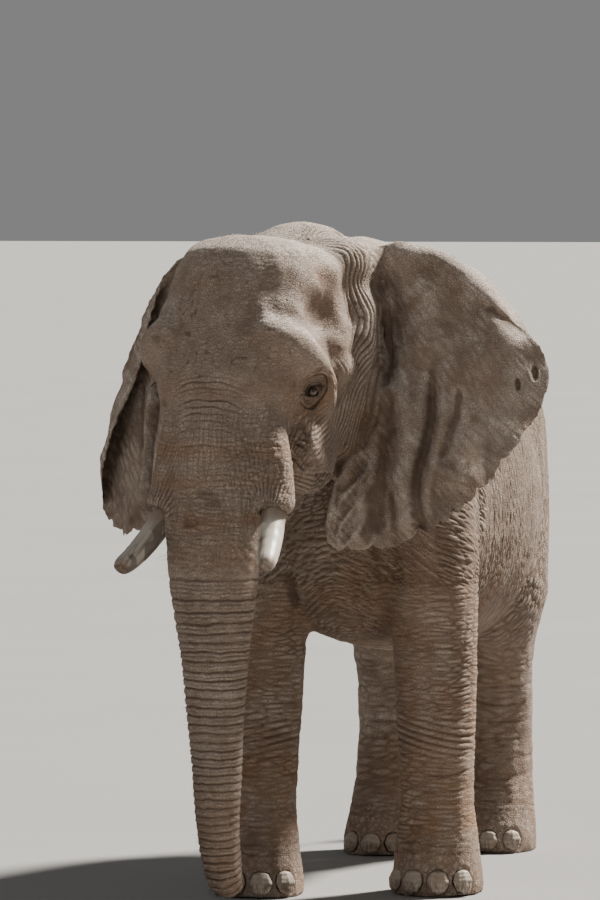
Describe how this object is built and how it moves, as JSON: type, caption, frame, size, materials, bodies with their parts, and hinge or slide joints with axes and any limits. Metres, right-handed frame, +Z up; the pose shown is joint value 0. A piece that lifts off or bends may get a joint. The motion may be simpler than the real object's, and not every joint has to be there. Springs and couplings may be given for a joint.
{
  "type": "african elephant museum model",
  "caption": "Life-size African elephant standing still, ears spread, trunk hanging down, with two short blunt tusks.",
  "frame": {"origin": "middle of the underside of the bounding box, on the floor between the feet", "axes": "+Z up, the elephant faces -Y, its left side is +X"},
  "size_m": [2.3028, 4.5466, 3.2473],
  "materials": {
    "skin": "dry wrinkled hide, dusty taupe grey with warm brown creases",
    "ivory": "worn ivory with grey stains and chips",
    "eye": "wet dark brown",
    "nail": "dull horn",
    "tail_hair": "coarse black hair"
  },
  "bodies": {
    "root": {"belly": "skin", "ear_left": "skin", "ear_right": "skin", "eye_left": "eye", "eye_right": "eye", "forefoot_left": "skin", "forefoot_right": "skin", "foreleg_left_lower": "skin", "foreleg_left_upper": "skin", "foreleg_right_lower": "skin", "foreleg_right_upper": "skin", "head": "skin", "hindfoot_left": "skin", "hindfoot_right": "skin", "hindleg_left_lower": "skin", "hindleg_left_upper": "skin", "hindleg_right_lower": "skin", "hindleg_right_upper": "skin", "jaw": "skin", "nail_forefoot_left_1": "nail", "nail_forefoot_left_2": "nail", "nail_forefoot_left_3": "nail", "nail_forefoot_left_4": "nail", "nail_forefoot_right_1": "nail", "nail_forefoot_right_2": "nail", "nail_forefoot_right_3": "nail", "nail_forefoot_right_4": "nail", "nail_hindfoot_left_1": "nail", "nail_hindfoot_left_2": "nail", "nail_hindfoot_left_3": "nail", "nail_hindfoot_right_1": "nail", "nail_hindfoot_right_2": "nail", "nail_hindfoot_right_3": "nail", "neck": "skin", "rump": "skin", "shoulders": "skin", "tail_brush": "tail_hair", "tail_lower": "skin", "tail_upper": "skin", "trunk_lower": "skin", "trunk_middle": "skin", "trunk_upper": "skin", "tusk_left": "ivory", "tusk_right": "ivory"}
  },
  "joints": []
}
